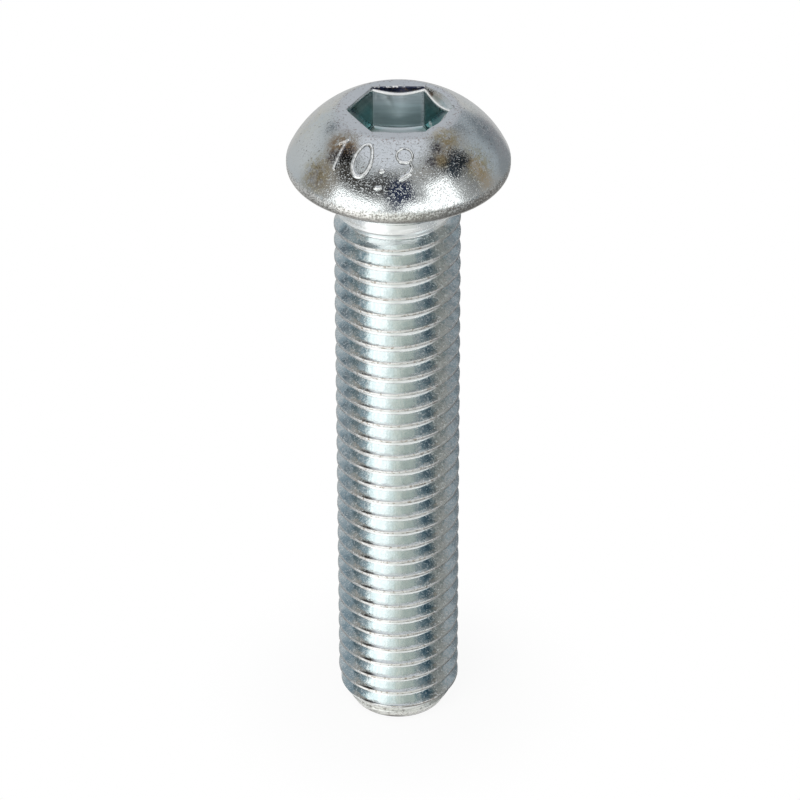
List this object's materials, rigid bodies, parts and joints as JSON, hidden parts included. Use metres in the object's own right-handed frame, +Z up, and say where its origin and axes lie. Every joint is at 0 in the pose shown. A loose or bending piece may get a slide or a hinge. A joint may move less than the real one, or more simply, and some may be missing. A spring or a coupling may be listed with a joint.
{
  "type": "button head screw",
  "caption": "Domed button head screw with a hexagon socket, a coarse right-hand thread up to the head and a bevelled flat point.",
  "frame": {"origin": "centre of the flat end of the point, on the surface that the screw stands on", "axes": "+Z up the screw's axis from the point to the head; two corners of the hexagon socket lie on the X axis"},
  "size_m": [0.0206, 0.0206, 0.0664],
  "materials": {
    "zinc_plated_steel": "bright zinc plating with a faint blue-grey passivation, forged surface on the head"
  },
  "bodies": {
    "root": {"screw": "zinc_plated_steel"}
  },
  "joints": []
}
